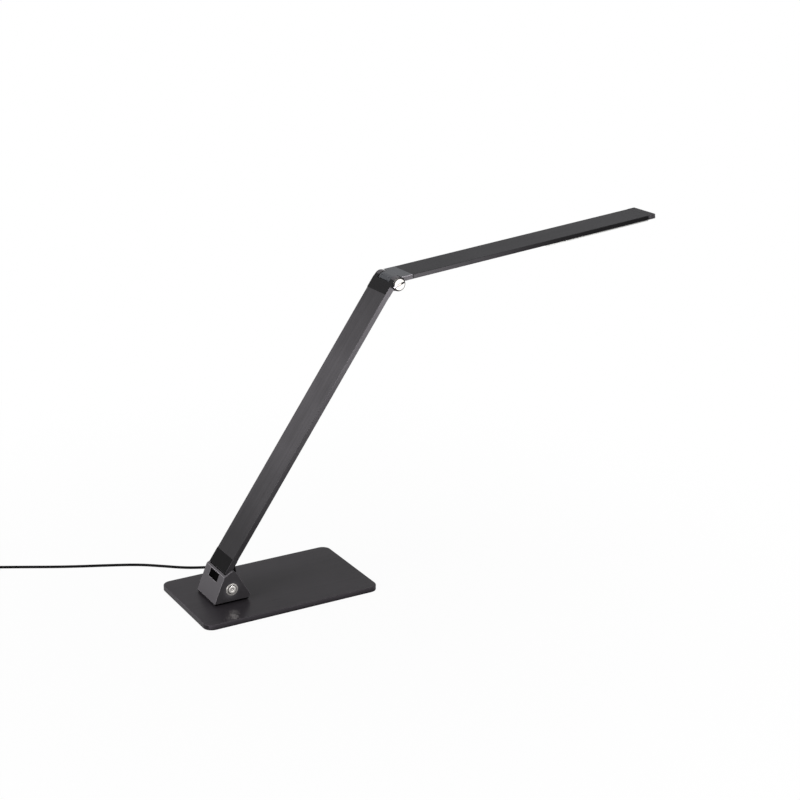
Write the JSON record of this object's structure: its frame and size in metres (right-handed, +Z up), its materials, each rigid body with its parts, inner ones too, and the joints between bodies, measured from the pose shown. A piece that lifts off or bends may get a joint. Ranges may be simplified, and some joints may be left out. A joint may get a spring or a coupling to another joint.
{
  "type": "LED task lamp",
  "caption": "Desk lamp with a weighted flat base, a swivelling hinge pedestal with rocker switch, a flat metal arm and a slim hinged light head, on a cord to a plug-in supply.",
  "frame": {"origin": "on the table under the middle of the base, in the plane of the base's rubber mat", "axes": "+X from the pedestal towards the light head, +Y along the hinge axes away from the camera, +Z up"},
  "size_m": [0.8313, 0.3273, 0.3606],
  "materials": {
    "dark_coat": "satin",
    "plain_steel": "satin",
    "mat_rubber": "matte",
    "screw_steel": "satin",
    "bearing_plastic": "matte",
    "black_plastic": "matte",
    "grey_coat": "satin",
    "rocker_plastic": "gloss",
    "bright_steel": "polished",
    "dark_cast": "satin",
    "brushed_arm": "brushed",
    "wire_sleeve": "matte",
    "hinge_grey": "satin",
    "milky_lens": "satin",
    "dark_cap": "satin",
    "board_white": "matte",
    "led_phosphor": "satin",
    "cord_rubber": "matte",
    "cord_sheath": "satin",
    "tie_plastic": "matte",
    "supply_plastic": "satin",
    "blade_brass": "satin"
  },
  "bodies": {
    "base": {"base_shell": "dark_coat", "base_weight": "plain_steel", "base_mat": "mat_rubber", "base_screws": "screw_steel", "slip_washer": "bearing_plastic", "cord_grommet": "cord_rubber", "base_wire": "wire_sleeve", "cord": "cord_sheath", "cord_coil": "cord_sheath", "cord_tie": "tie_plastic", "supply_boot": "cord_rubber", "power_supply": "supply_plastic", "plug_blades": "blade_brass"},
    "pedestal": {"swivel_plinth": "black_plastic", "swivel_nut": "plain_steel", "swivel_screws": "screw_steel", "pedestal_housing": "grey_coat", "switch_frame": "black_plastic", "hinge_bolts": "bright_steel", "hinge_washers": "bearing_plastic", "hinge_nuts": "screw_steel"},
    "rocker": {"switch_rocker": "rocker_plastic"},
    "arm": {"lower_knuckle": "dark_cast", "arm_tube": "brushed_arm", "upper_fork": "dark_cast", "arm_screws": "screw_steel", "arm_wire": "wire_sleeve", "elbow_bolt": "bright_steel", "elbow_nut": "bright_steel", "elbow_washers": "bearing_plastic"},
    "head": {"head_block": "hinge_grey", "head_channel": "brushed_arm", "underside_cover": "black_plastic", "diffuser": "milky_lens", "cover_screws": "screw_steel", "head_end_cap": "dark_cap", "led_board": "board_white", "led_chips": "led_phosphor", "head_wire": "wire_sleeve"}
  },
  "joints": [
    {"name": "base_swivel", "type": "hinge", "parent": "base", "child": "pedestal", "pos_m": [-0.054, 0, 0.0063], "axis": [0, 0, 1], "range_deg": [-60, 60]},
    {"name": "lower_hinge", "type": "hinge", "parent": "pedestal", "child": "arm", "pos_m": [-0.054, 0, 0.0214], "axis": [0, 1, 0], "range_deg": [-3, 32]},
    {"name": "elbow_hinge", "type": "hinge", "parent": "arm", "child": "head", "pos_m": [0.14826, 0, 0.32244], "axis": [0, -1, 0], "range_deg": [-72, 49.6]},
    {"name": "switch_rocker", "type": "hinge", "parent": "pedestal", "child": "rocker", "pos_m": [-0.06225, 0, 0.03086], "axis": [0.3911, 0, 0.9203], "range_deg": [-10, 0]}
  ]
}
